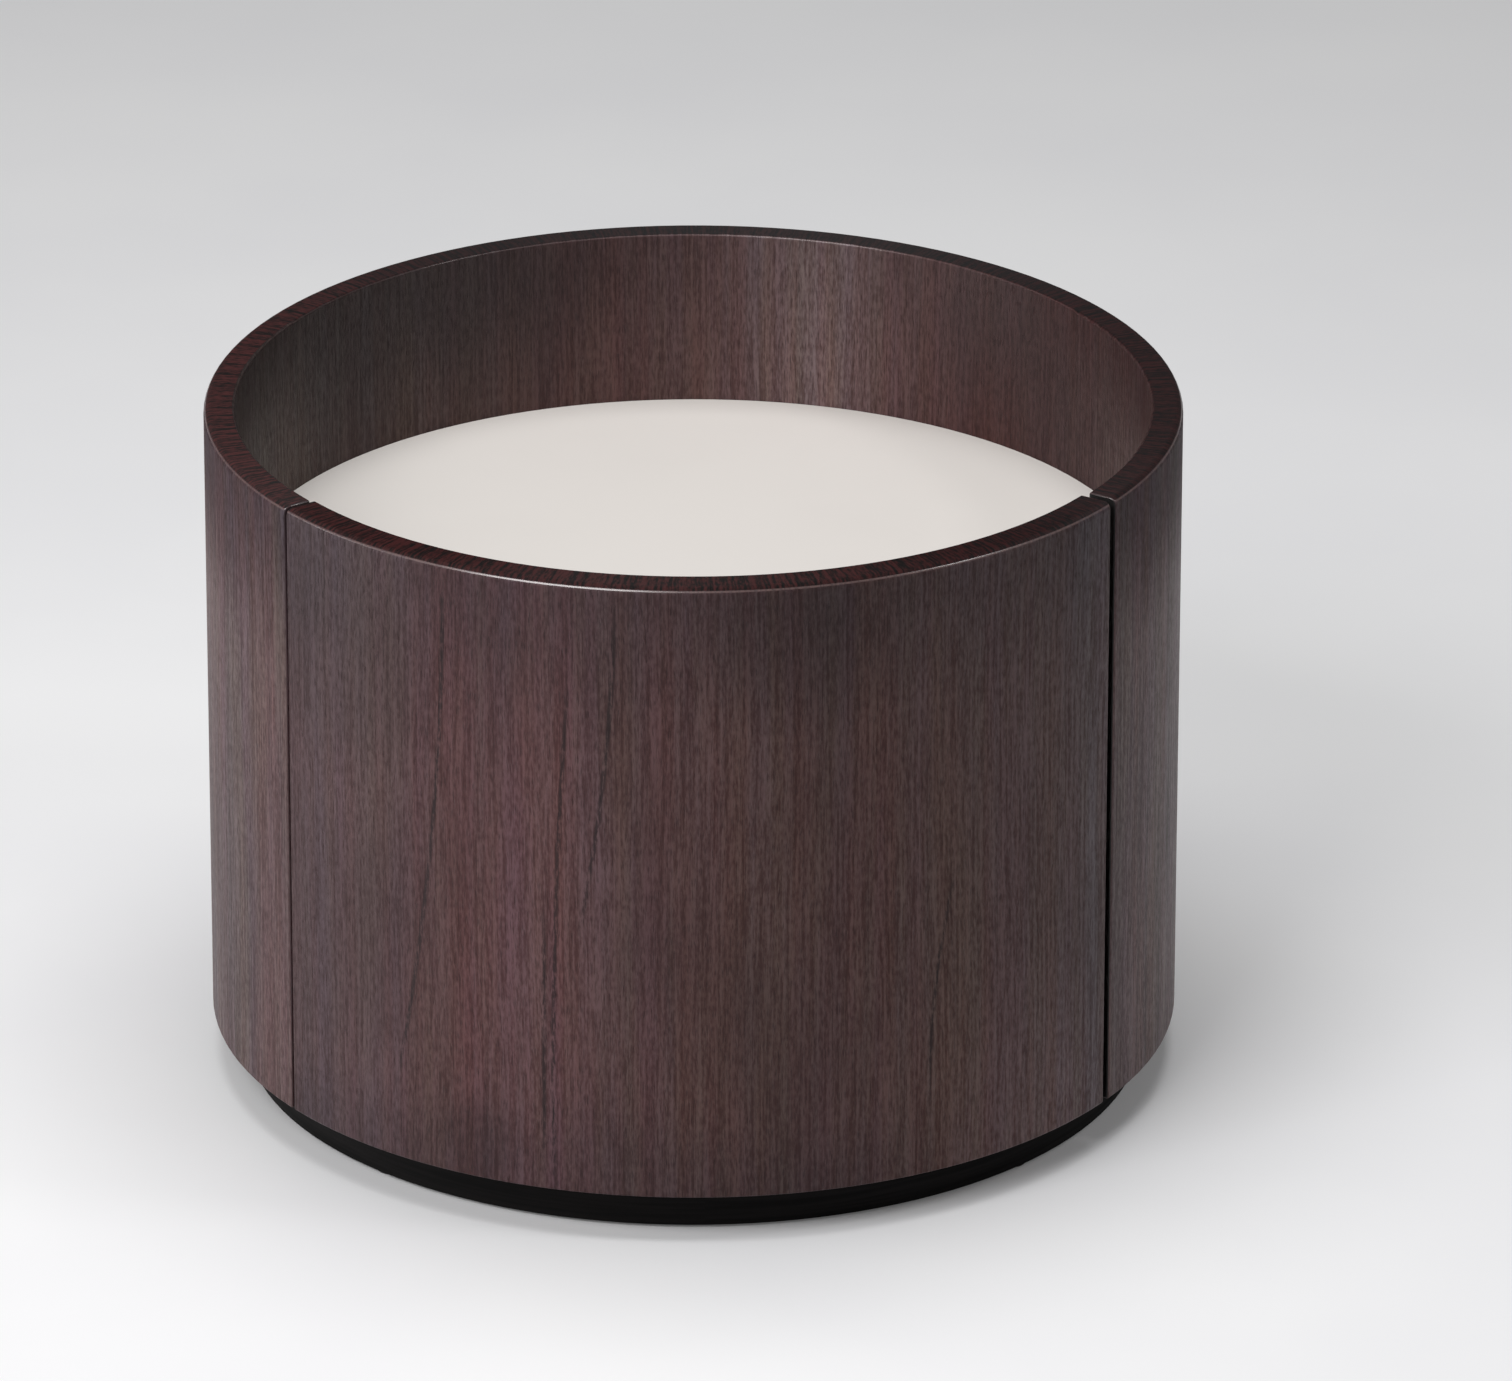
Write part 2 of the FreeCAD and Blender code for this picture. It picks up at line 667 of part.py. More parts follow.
def runner_member(name, sign, half_section):
    """A rolled section along Y. The half section is listed from the middle upwards and mirrored."""
    lower = [(reach, f"-({rise})") for reach, rise in half_section]
    corners = [runner_point(sign, reach, rise) for reach, rise in half_section + lower[::-1]]
    body = new_body(name)
    sketch = new_sketch(body, "XZ_Plane")
    draw_outline(sketch, corners)
    pad(body, sketch, "sizes.runner_length", symmetric=True)
    return body


def make_runner_members(side, sign, cabinet_holes, drawer_holes):
    inside = "derived.cabinet_rise - sizes.runner_sheet"
    lip = f"{inside} - sizes.runner_lip"
    lip_reach = "derived.cabinet_reach - sizes.runner_sheet"
    cabinet = runner_member(f"cabinet_{side}", sign, [
        ("sizes.runner_sheet", inside), (lip_reach, inside), (lip_reach, lip),
        ("derived.cabinet_reach", lip), ("derived.cabinet_reach", "derived.cabinet_rise"),
        ("0", "derived.cabinet_rise")])
    keep(f"runner_cabinet_{side}", minus(f"cabinet_{side}_drilled", cabinet, cabinet_holes))

    inside = "derived.middle_rise - sizes.runner_sheet"
    middle = runner_member(f"middle_{side}", sign, [
        ("derived.middle_web + sizes.runner_sheet", inside), ("derived.middle_reach", inside),
        ("derived.middle_reach", "derived.middle_rise"), ("derived.middle_web", "derived.middle_rise")])
    keep(f"runner_middle_{side}", middle)

    inside = "derived.drawer_rise - sizes.runner_sheet"
    drawer = runner_member(f"drawer_{side}", sign, [
        ("sizes.runner_width - sizes.runner_sheet", inside), ("derived.drawer_flange_start", inside),
        ("derived.drawer_flange_start", "derived.drawer_rise"),
        ("sizes.runner_width", "derived.drawer_rise")])
    keep(f"runner_drawer_{side}", minus(f"drawer_{side}_drilled", drawer, drawer_holes))


def make_balls(side, sign, row):
    """One row of balls above and one below, each in its cage strip."""
    strips = []
    balls = []
    for rise_sign in (1, -1):
        x, z = runner_point(sign, f"derived.{row}_ball_reach", f"{rise_sign} * derived.{row}_ball_rise")
        tag = f"{row}_{side}_{'upper' if rise_sign > 0 else 'lower'}"
        blank = box(f"{tag}_blank", (f"{x} - derived.cage_half", "-sizes.cage_length / 2",
                                     f"{z} - sizes.cage_sheet / 2"),
                    ("2 * derived.cage_half", "sizes.cage_length", "sizes.cage_sheet"))
        pockets = []
        for step in (-2, -1, 0, 1, 2):
            y = f"{step} * sizes.ball_pitch"
            ball = doc.addObject("Part::Sphere", f"{tag}_ball_{step + 2}")
            bind(ball, Radius="sizes.ball_radius")
            balls.append(place(ball, x, y, z))
            pockets.append(cylinder(f"{tag}_pocket_{step + 2}", "derived.pocket_radius",
                                    "2 * sizes.cage_sheet", x, y, f"{z} - sizes.cage_sheet"))
        strips.append(minus(f"{tag}_strip", blank, pockets))
    keep(f"{row}_cage_{side}", group(f"{row}_cage_{side}_all", strips))
    keep(f"{row}_balls_{side}", group(f"{row}_balls_{side}_all", balls))


def make_runner_screws():
    cabinet_places = []
    drawer_places = []
    head = "sizes.runner_sheet + sizes.runner_screw_head_height"
    for sign in SIDES.values():
        for step in (-1, 1):
            y = f"{step} * sizes.runner_length / 3"
            x, z = runner_point(sign, head, "0")
            cabinet_places.append((outward(sign), x, y, z))
            x, z = runner_point(sign, f"sizes.runner_width - ({head})", "0")
            drawer_places.append((inward(sign), x, y, z))
    length = f"{head} + sizes.runner_screw_bite"
    cabinet_holes = screws("runner_cabinet_screws", "runner_screw", length, cabinet_places)
    drawer_holes = screws("runner_drawer_screws", "runner_screw", length, drawer_places)
    return holes_by_side(cabinet_holes, cabinet_places), holes_by_side(drawer_holes, drawer_places)


def make_table():
    make_shell()
    make_bumpers()
    floor_holes = make_base()
    cleat_holes = make_top()
    rear_holes = make_rear()
    back_holes = make_drawer_back()
    front_holes, block_holes = make_corner_blocks()
    cabinet_holes, drawer_holes = make_runner_screws()
    make_drawer_front(front_holes)
    for side, sign in SIDES.items():
        board_holes = floor_holes[sign] + cleat_holes[sign] + rear_holes[sign]
        make_partition(side, sign, board_holes + cabinet_holes[sign])
        make_battens(side, sign)
        make_drawer_side(side, sign, back_holes[sign] + block_holes[sign] + drawer_holes[sign])
        make_runner_members(side, sign, cabinet_holes[sign], drawer_holes[sign])
        for row in ("outer", "inner"):
            make_balls(side, sign, row)


def check_table():
    for obj in doc.Objects:
        if "Invalid" in obj.State or "Error" in obj.State:
            raise RuntimeError(f"{obj.Label} failed: {obj.State}")
    for node in nodes:
        if node.Shape.isNull() or not node.Shape.isValid():
            raise RuntimeError(f"{node.Label} has no valid shape")


make_table()
doc.recompute()
check_table()
os.makedirs("parts", exist_ok=True)
for node in nodes:
    node.Shape.exportStep(f"parts/{node.Label}.step")
print(len(nodes), "pieces")
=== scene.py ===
import math
import bpy
from mathutils import Matrix, Vector

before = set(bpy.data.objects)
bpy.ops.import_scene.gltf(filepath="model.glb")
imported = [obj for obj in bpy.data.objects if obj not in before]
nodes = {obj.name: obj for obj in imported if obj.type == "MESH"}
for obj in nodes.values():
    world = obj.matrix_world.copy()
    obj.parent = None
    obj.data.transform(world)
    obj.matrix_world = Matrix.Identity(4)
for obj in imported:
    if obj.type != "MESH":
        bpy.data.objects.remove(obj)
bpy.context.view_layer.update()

# Round end table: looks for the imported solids, in metres, with the drawer towards -Y

OUTER_RADIUS = 0.280
RIM_HEIGHT = 0.400
X_AXIS, Y_AXIS, Z_AXIS = range(3)
SIDES = ("left", "right")
WHITE = (1.0, 1.0, 1.0, 1.0)


def both(name):
    return [f"{name}_{side}" for side in SIDES]


def colour(red, green, blue):
    """An 8-bit display colour as the linear colour that shaders take."""
    def linear(value):
        value = value / 255
        return value / 12.92 if value <= 0.04045 else ((value + 0.055) / 1.055) ** 2.4
    return (linear(red), linear(green), linear(blue), 1.0)


# Shader building

class Shader:
    """A material under construction. Most methods add one node and return its output socket."""

    def __init__(self, name):
        self.material = bpy.data.materials.new(name)
        self.material.use_nodes = True
        self.tree = self.material.node_tree
        self.tree.nodes.clear()
        self.surface = self.add("ShaderNodeBsdfPrincipled")
        output = self.add("ShaderNodeOutputMaterial")
        self.tree.links.new(self.surface.outputs["BSDF"], output.inputs["Surface"])

    def add(self, kind, inputs=(), **settings):
        node = self.tree.nodes.new(kind)
        for key, value in settings.items():
            setattr(node, key, value)
        for key, value in dict(inputs).items():
            self.feed(node.inputs[key], value)
        return node

    def feed(self, socket, value):
        if isinstance(value, bpy.types.NodeSocket):
            self.tree.links.new(value, socket)
        else:
            socket.default_value = value

    def finish(self, **inputs):
        """Sets the surface's own inputs, with _ for a space in their names, and returns the material."""
        for key, value in inputs.items():
            self.feed(self.surface.inputs[key.replace("_", " ")], value)
        return self.material

    def math(self, operation, *values):
        return self.add("ShaderNodeMath", enumerate(values), operation=operation).outputs[0]

    def plus(self, total, *others):
        for other in others:
            total = self.math("ADD", total, other)
        return total

    def minus(self, value, other):
        return self.math("SUBTRACT", value, other)

    def times(self, product, *others):
        for other in others:
            product = self.math("MULTIPLY", product, other)
        return product

    def size(self, value):
        """The value without its sign."""
        return self.math("ABSOLUTE", value)

    def larger(self, value, other):
        return self.math("MAXIMUM", value, other)

    def place(self):
        """X, Y and Z of the surface point in the part's frame, wherever the drawer stands."""
        point = self.add("ShaderNodeTexCoord").outputs["Object"]
        return self.add("ShaderNodeSeparateXYZ", {0: point}).outputs

    def normal(self):
        facing = self.add("ShaderNodeNewGeometry").outputs["Normal"]
        return self.add("ShaderNodeSeparateXYZ", {0: facing}).outputs

    def vector(self, x, y, z):
        return self.add("ShaderNodeCombineXYZ", {0: x, 1: y, 2: z}).outputs[0]

    def noise(self, vector, scale=1.0, detail=2.0, roughness=0.5):
        inputs = {"Vector": vector, "Scale": scale, "Detail": detail, "Roughness": roughness}
        return self.add("ShaderNodeTexNoise", inputs).outputs[0]

    def streaks(self, u, v, across, along, seed, detail=2.0, roughness=0.5):
        """Noise stretched along v: across and along are its frequencies, per metre."""
        spot = self.vector(self.times(u, across), self.times(v, along), seed)
        return self.noise(spot, 1.0, detail, roughness)

    def span(self, value, low, high, to_low=0.0, to_high=1.0, smooth=True):
        """Maps low to high onto to_low to to_high, held at the ends."""
        inputs = {0: value, 1: low, 2: high, 3: to_low, 4: to_high}
        kind = "SMOOTHSTEP" if smooth else "LINEAR"
        return self.add("ShaderNodeMapRange", inputs, interpolation_type=kind, clamp=True).outputs[0]

    def fall(self, value, low, high):
        """One up to low, and nothing from high on."""
        return self.span(value, low, high, 1.0, 0.0)

    def step(self, value, place, softness, before=0.0, after=1.0):
        """Changes from before to after about one place, over twice the softness."""
        return self.span(value, place - softness, place + softness, before, after)

    def mix(self, factor, first, second, blend="MIX"):
        node = self.add("ShaderNodeMix", data_type="RGBA", blend_type=blend, clamp_result=False)
        for socket, value in ((0, factor), (6, first), (7, second)):
            self.feed(node.inputs[socket], value)
        return node.outputs[2]

    def tinted(self, tone, tint):
        """The tone times the tint."""
        return self.mix(1.0, tone, tint, "MULTIPLY")

    def ramp(self, value, stops):
        node = self.add("ShaderNodeValToRGB", {0: value})
        band = node.color_ramp
        while len(band.elements) < len(stops):
            band.elements.new(0.5)
        for element, (position, shade) in zip(band.elements, stops):
            element.position = position
            element.color = shade
        return node.outputs[0]

    def bump(self, height, strength, distance):
        inputs = {"Height": height, "Strength": strength, "Distance": distance}
        return self.add("ShaderNodeBump", inputs).outputs[0]


# Dark stained oak veneer: the grain runs up the walls and across the rim

FRONT_SEED = 3.0
SHELL_SEED = 11.0
FRONT_GLOSS = 0.25
SHELL_GLOSS = 0.38
GRAIN_DRIFT = 0.012
GRAIN_RANGE = (0.38, 0.62)
PORE_RANGE = (0.58, 0.70)

# Half the length around the wall over which each leaf's colours, with the light painted into them, are given
FRONT_REACH = 0.28
INNER_REACH = 0.44

# Radius about the middle of the wall, and about where the rounding of its outer top edge starts
WALL_MIDDLE = OUTER_RADIUS - 0.010
OUTER_ROUNDING = OUTER_RADIUS - 0.005

# The upward part of a facing is 0 on the walls and 1 on the rim. These say where the rim's strip begins,
# how much earlier it does so on the outer rounding, and where the polish on the edges begins and ends
RIM_BEGINS = (0.80, 0.95)
OUTER_RIM_EXTRA = 0.20
POLISH_BEGINS = (0.42, 0.50)
POLISH_ENDS = (0.60, 0.70)

# How far down from the rim the painted shade reaches, how unevenly it ends, and how high it comes from below
SHADE_REACH = 0.11
SHADE_UNEVENNESS = 0.08
LOW_SHADE_HEIGHTS = (0.03, 0.09)
FRONT_SHADE = 0.6
SHELL_SHADE = 0.72
LOW_SHADE = 0.5

# How much duller the rim's strip and the painted shade are, and how much of each leaf's colour, with the
# light painted into it, shows
RIM_DULLNESS = 0.40
SHADE_DULLNESS = 0.34
FRONT_LEAF_LIGHT_SHARE = 0.7
INNER_LEAF_LIGHT_SHARE = 0.9

SHELL_TINT = (1.05, 1.04, 0.99, 1.0)
FIBRE_TINT = (0.44, 0.32, 0.31, 1.0)
# The tint of the painted shade
SHADE_TINT = (0.45, 0.52, 0.62, 1.0)
REFLECTION_TINT = (1.33, 1.36, 1.37, 1.0)
STRIPE_COLOUR = colour(64, 50, 52)
PORE_COLOUR = colour(40, 22, 22)
CLOUD_COLOUR = colour(46, 32, 34)
MARK_AND_SHADE_COLOUR = colour(26, 17, 19)
DARK_RIM_COLOUR = colour(10, 7, 9)
SEAM_SHADE_COLOUR = colour(15, 10, 10)
WORN_HIGHLIGHT_COLOUR = colour(122, 92, 88)

# Stripes some millimetres wide that lean to grey or to red, and others that lean to mauve or to olive:
# noise layer, frequencies across and along the grain, and the two tints
TINT_STRIPES = (
    (7, 75.0, 2.0, (1.0, 1.09, 1.09, 1.0), (1.0, 0.91, 0.91, 1.0)),
    (8, 60.0, 2.6, (1.0, 1.0, 1.08, 1.0), (1.0, 1.0, 0.92, 1.0)),
)

# Dark lines on the front that lean to the left as they run down, in metres:
# place around the front, top, bottom, lean and bend
FRONT_LINES = (
    (-0.153, 0.382, 0.083, 0.006, 0.34),
    (-0.051, 0.380, 0.200, 0.024, 0.44),
    (-0.078, 0.330, 0.040, 0.075, -0.16),
    (-0.092, 0.190, 0.050, 0.004, 0.00),
    (0.145, 0.201, 0.080, 0.220, -0.90),
)
LINE_CORE = 0.0003
LINE_EDGE = 0.0022
LINE_FADE = 0.03
LINE_DARKNESS = 0.75

# Soft dark patches on the front: the lowest is a smudge, the two high ones are painted shade near the top
# edge. Place around it, height, half width, half height and darkness
FRONT_SMUDGES_AND_SHADE = (
    (-0.132, 0.050, 0.028, 0.034, 0.30),
    (-0.235, 0.320, 0.090, 0.075, 0.30),
    (0.060, 0.360, 0.070, 0.060, 0.22),
)


class Wall:
    """A spot on a bent wall: its place, its facing and the fibres there.

    On the veneer leaf, u runs across the grain and v along it. On the end faces beside the seams
    u also runs along the radius, and on the rim v does.
    """

    def __init__(self, s, front):
        self.front = front
        self.seed = FRONT_SEED if front else SHELL_SEED
        self.x, self.y, self.z = s.place()
        self.nx, self.ny, self.nz = s.normal()
        self.radius = s.math("SQRT", s.plus(s.times(self.x, self.x), s.times(self.y, self.y)))
        ahead = s.times(self.y, -1.0) if front else self.y
        self.around = s.times(s.math("ARCTAN2", self.x, ahead), OUTER_RADIUS)
        turned = s.minus(s.times(self.nx, self.y), s.times(self.ny, self.x))
        self.sideways = s.size(s.math("DIVIDE", turned, self.radius))
        self.end_face = s.step(self.sideways, 0.75, 0.05)
        if not front:
            outward = s.plus(s.times(self.nx, self.x), s.times(self.ny, self.y))
            self.inside = s.fall(outward, -0.01, 0.01)
        self.lay_leaf(s)
        self.lay_fibres(s)

    def lay_leaf(self, s):
        """Gives u and v. The grain drifts sideways slowly along its length."""
        u = s.plus(self.around, s.times(self.end_face, self.radius))
        self.v = s.minus(s.plus(self.z, OUTER_RADIUS), self.radius)
        drift = s.streaks(u, self.v, across=5.0, along=2.4, seed=self.seed, detail=1.0)
        self.u = s.plus(u, s.times(s.minus(drift, 0.5), GRAIN_DRIFT))

    def streaks(self, s, layer, across, along, **settings):
        return s.streaks(self.u, self.v, across, along, self.seed + layer, **settings)

    def lay_fibres(self, s):
        """Long fine lines, shorter dashes between them and short flecks; pores; and soft clouds."""
        self.lines = self.streaks(s, 2, across=420.0, along=8.0, roughness=0.6)
        dashes = self.streaks(s, 3, across=560.0, along=42.0, roughness=0.6)
        flecks = self.streaks(s, 4, across=640.0, along=190.0, roughness=0.6)
        self.grain = s.plus(s.times(self.lines, 0.36), s.times(dashes, 0.30), s.times(flecks, 0.34))
        self.pores = self.streaks(s, 5, across=1400.0, along=110.0, detail=1.0)
        self.cloud = self.streaks(s, 6, across=9.0, along=4.0)


def front_leaf_and_light(s, wall):
    """The front's colour, with light painted in: reddest and lightest left of the middle, partly as a painted
    sheen, greyer and darker to its right, and paler and greyer at its right end as a painted reflection of
    the floor.
    """
    share = s.span(wall.around, -FRONT_REACH, FRONT_REACH, smooth=False)
    return s.ramp(share, [
        (0.00, colour(85, 63, 68)),
        (0.20, colour(87, 58, 58)),
        (0.33, colour(106, 71, 72)),
        (0.42, colour(92, 66, 64)),
        (0.72, colour(86, 66, 61)),
        (0.86, colour(89, 73, 70)),
        (1.00, colour(98, 89, 91)),
    ])


def inner_leaf_and_light(s, wall):
    """The colour of the leaf inside the rim, with light painted in: dark at both ends, the left end as
    painted shade, and lightest right of the middle as a painted sheen.
    """
    share = s.span(wall.around, -INNER_REACH, INNER_REACH, smooth=False)
    return s.ramp(share, [
        (0.10, colour(72, 60, 52)),
        (0.34, colour(81, 60, 56)),
        (0.46, colour(90, 60, 58)),
        (0.53, colour(102, 75, 74)),
        # Painted sheen
        (0.60, colour(130, 107, 106)),
        (0.66, colour(100, 72, 71)),
        (0.74, colour(80, 42, 40)),
        (0.90, colour(76, 49, 47)),
    ])


def leaf_tone(s, wall):
    """Soft bands of grey, olive, red and mauve brown, under the colour of each leaf with its painted light.
    """
    bands = wall.streaks(s, 1, across=14.0, along=1.4)
    tone = s.ramp(bands, [
        (0.36, colour(98, 79, 84)),
        (0.44, colour(100, 77, 76)),
        (0.50, colour(102, 75, 78)),
        (0.56, colour(99, 75, 82)),
        (0.64, colour(97, 78, 78)),
    ])
    if wall.front:
        return s.mix(FRONT_LEAF_LIGHT_SHARE, tone, front_leaf_and_light(s, wall))
    tone = s.tinted(tone, SHELL_TINT)
    stripes = wall.streaks(s, 9, across=110.0, along=3.0)
    tone = s.mix(s.span(stripes, 0.40, 0.65, to_high=0.35), tone, STRIPE_COLOUR)
    # Inside the rim, the leaf's colour carries a painted sheen and painted shade
    return s.mix(s.times(wall.inside, INNER_LEAF_LIGHT_SHARE), tone, inner_leaf_and_light(s, wall))


def add_stripes(s, wall, tone):
    for layer, across, along, cool, warm in TINT_STRIPES:
        stripes = wall.streaks(s, layer, across, along, detail=3.0, roughness=0.6)
        tint = s.mix(s.span(stripes, 0.34, 0.66), cool, warm)
        tone = s.tinted(tone, tint)
    return tone


def add_fibres(s, wall, tone):
    tone = s.mix(s.span(wall.grain, *GRAIN_RANGE), tone, s.tinted(tone, FIBRE_TINT))
    tone = s.mix(s.span(wall.pores, *PORE_RANGE, to_high=0.5), tone, PORE_COLOUR)
    return s.mix(s.span(wall.cloud, 0.45, 0.70, to_high=0.30), tone, CLOUD_COLOUR)


def front_lines(s, wall):
    """How dark the leaning lines make each spot. The grain breaks them up."""
    marks = 0.0
    for place, top, bottom, lean, bend in FRONT_LINES:
        drop = s.minus(top, wall.z)
        bent = s.plus(lean, s.times(drop, bend))
        centre = s.minus(place, s.times(drop, bent))
        off = s.size(s.minus(wall.around, centre))
        near = s.span(off, LINE_CORE, LINE_EDGE, LINE_DARKNESS, 0.0)
        above = s.step(wall.z, bottom, LINE_FADE)
        below = s.step(wall.z, top, LINE_FADE, 1.0, 0.0)
        marks = s.larger(marks, s.times(near, s.times(above, below)))
    return s.times(marks, s.span(wall.grain, 0.42, 0.54, 0.15, 1.0))


def front_smudges_and_shade(s, wall):
    """How dark the smudge and the patches of painted shade make each spot."""
    marks = 0.0
    for place, level, half_width, half_height, darkness in FRONT_SMUDGES_AND_SHADE:
        side = s.math("DIVIDE", s.minus(wall.around, place), half_width)
        rise = s.math("DIVIDE", s.minus(wall.z, level), half_height)
        reach = s.plus(s.times(side, side), s.times(rise, rise))
        marks = s.larger(marks, s.span(reach, 0.0, 1.0, darkness, 0.0))
    return marks


def painted_shade_depth(s, wall):
    """Painted shade: darker and cooler towards the top edge, and on the front's left along the bottom edge
    too.

    Inside the rim the painted shade is deeper on the left than on the right.
    """
    level = s.plus(wall.z, s.times(s.minus(wall.cloud, 0.5), SHADE_UNEVENNESS))
    top = s.span(level, RIM_HEIGHT - SHADE_REACH, RIM_HEIGHT)
    if wall.front:
        bottom = s.span(level, *LOW_SHADE_HEIGHTS, LOW_SHADE, 0.0)
        leftward = s.fall(wall.around, 0.06, 0.20)
        return s.plus(s.times(top, FRONT_SHADE), s.times(bottom, leftward))
    held_back = s.times(wall.inside, s.span(wall.around, -0.25, 0.05, -0.23, 0.27))
    return s.times(top, s.minus(SHELL_SHADE, held_back))


def painted_floor_reflection(s, wall):
    """Painted reflection of the pale floor: the front is a little paler towards its lower right corner."""
    return s.times(s.fall(wall.z, 0.03, 0.18), s.span(wall.around, 0.04, 0.22))


def rim_share(s, wall):
    """Where the rim's top strip lies. It reaches further down the wide rounding of the outer edge."""
    extra = s.step(wall.radius, OUTER_ROUNDING, 0.001, after=OUTER_RIM_EXTRA)
    return s.span(s.plus(wall.nz, extra), *RIM_BEGINS)


def rim_tone(s, wall):
    """The rim's strip is darker and redder than the walls, and darkest at the back and the right; the
    darkening towards the right is painted shade.
    """
    light = colour(57, 23, 23) if wall.front else colour(65, 29, 29)
    dark = colour(9, 4, 4) if wall.front else colour(12, 6, 6)
    tone = s.mix(s.span(wall.grain, 0.42, 0.58), light, dark)
    if not wall.front:
        at_back = s.span(s.size(wall.around), 0.12, 0.34, 0.7, 0.0)
        tone = s.mix(at_back, tone, DARK_RIM_COLOUR)
    # Painted shade: darker towards the right
    return s.mix(s.span(wall.x, 0.06, 0.24, to_high=0.55), tone, DARK_RIM_COLOUR)


def arris_share(s, wall):
    """Where handling has polished the top edges: most on the outer one, and less at the seams."""
    tilted = s.times(s.span(wall.nz, *POLISH_BEGINS), s.fall(wall.nz, *POLISH_ENDS))
    outer = s.step(wall.radius, WALL_MIDDLE, 0.002, before=0.5)
    at_seams = s.span(wall.sideways, 0.15, 0.35, 1.0, 0.8)
    return s.times(tilted, outer, at_seams)


def make_veneer(name, front):
    s = Shader(name)
    wall = Wall(s, front)
    painted_shade = painted_shade_depth(s, wall)
    rim = rim_share(s, wall)
    arris = arris_share(s, wall)

    tone = leaf_tone(s, wall)
    tone = add_stripes(s, wall, tone)
    tone = add_fibres(s, wall, tone)
    if front:
        # Dark leaning lines and a smudge, and patches of painted shade near the top edge
        marks = s.larger(front_lines(s, wall), front_smudges_and_shade(s, wall))
        tone = s.mix(marks, tone, MARK_AND_SHADE_COLOUR)
    # Painted shade: darker and cooler towards the top edge, and along the front's lower left edge
    tone = s.mix(painted_shade, tone, s.tinted(tone, SHADE_TINT))
    if front:
        # Painted reflection of the floor on the front's lower right
        tone = s.mix(painted_floor_reflection(s, wall), tone, s.tinted(tone, REFLECTION_TINT))
    tone = s.mix(rim, tone, rim_tone(s, wall))
    # Painted shade in the seams: the end faces are darkened there, more at the right seam than at the left
    # one
    seam_shade_share = s.times(wall.end_face, s.step(wall.x, 0.0, 0.01, before=0.45))
    tone = s.mix(seam_shade_share, tone, SEAM_SHADE_COLOUR)
    # Lighter along the polished edges: partly wear, partly a painted highlight
    worn_and_highlight = s.times(arris, s.span(wall.lines, 0.35, 0.60, 0.10, 0.45))
    tone = s.mix(worn_and_highlight, tone, WORN_HIGHLIGHT_COLOUR)

    height = s.plus(s.times(wall.grain, -1.0), s.span(wall.pores, *PORE_RANGE, to_high=-0.6))
    rough = s.plus(s.span(wall.grain, *GRAIN_RANGE, 0.42, 0.56), s.times(rim, RIM_DULLNESS))
    if not front:
        # Where the painted shade lies on the outside of the shell, the surface is duller too
        rough = s.plus(rough, s.times(painted_shade, s.span(wall.inside, 0.0, 1.0, SHADE_DULLNESS, 0.0)))
    return s.finish(
        Base_Color=tone,
        Roughness=rough,
        Specular_IOR_Level=FRONT_GLOSS if front else SHELL_GLOSS,
        Anisotropic=0.8,
        Anisotropic_Rotation=0.25,
        Coat_Weight=arris,
        Coat_Roughness=0.25,
        Coat_IOR=1.95,
        Normal=s.bump(height, strength=0.6, distance=0.0004),
    )


# Off-white matt lacquer

def make_lacquer():
    s = Shader("pale_lacquer")
    spot = s.vector(*s.place())
    peel = s.noise(spot, scale=420.0)
    cloud = s.noise(spot, scale=5.0, detail=3.0)
    tone = s.mix(s.span(cloud, 0.3, 0.7), colour(231, 226, 221), colour(226, 221, 216))
    rough = s.span(cloud, 0.3, 0.7, 0.50, 0.58)
    peel_bump = s.bump(peel, strength=0.06, distance=0.0002)
    return s.finish(Base_Color=tone, Roughness=rough, Normal=peel_bump)


# Black-brown stained board of the base

def make_dark_board():
    s = Shader("dark_board")
    x, y, z = s.place()
    around = s.times(s.math("ARCTAN2", x, y), OUTER_RADIUS)
    grain = s.streaks(z, around, across=400.0, along=9.0, seed=1.0, detail=3.0)
    tone = s.mix(s.span(grain, 0.35, 0.65), colour(17, 14, 14), colour(10, 9, 9))
    rough = s.span(grain, 0.3, 0.7, 0.55, 0.7)
    grain_bump = s.bump(grain, strength=0.2, distance=0.0003)
    return s.finish(Base_Color=tone, Roughness=rough, Specular_IOR_Level=0.1, Normal=grain_bump)


# Birch: plywood with its layers showing on the edges of each board, and solid battens and blocks

PLY = 0.0014
BIRCH_DRIFT = 0.03


def birch_edge(s, spot, depth):
    """Light and dark layers, one ply each, with end grain in them."""
    layer = s.math("FRACT", s.math("DIVIDE", depth, 2 * PLY))
    stripe = s.span(s.size(s.minus(layer, 0.5)), 0.20, 0.28)
    end_grain = s.noise(s.vector(*spot), scale=900.0)
    light = s.mix(end_grain, colour(212, 180, 140), colour(188, 150, 108))
    dark = s.mix(end_grain, colour(168, 126, 84), colour(140, 100, 64))
    return s.mix(stripe, light, dark)


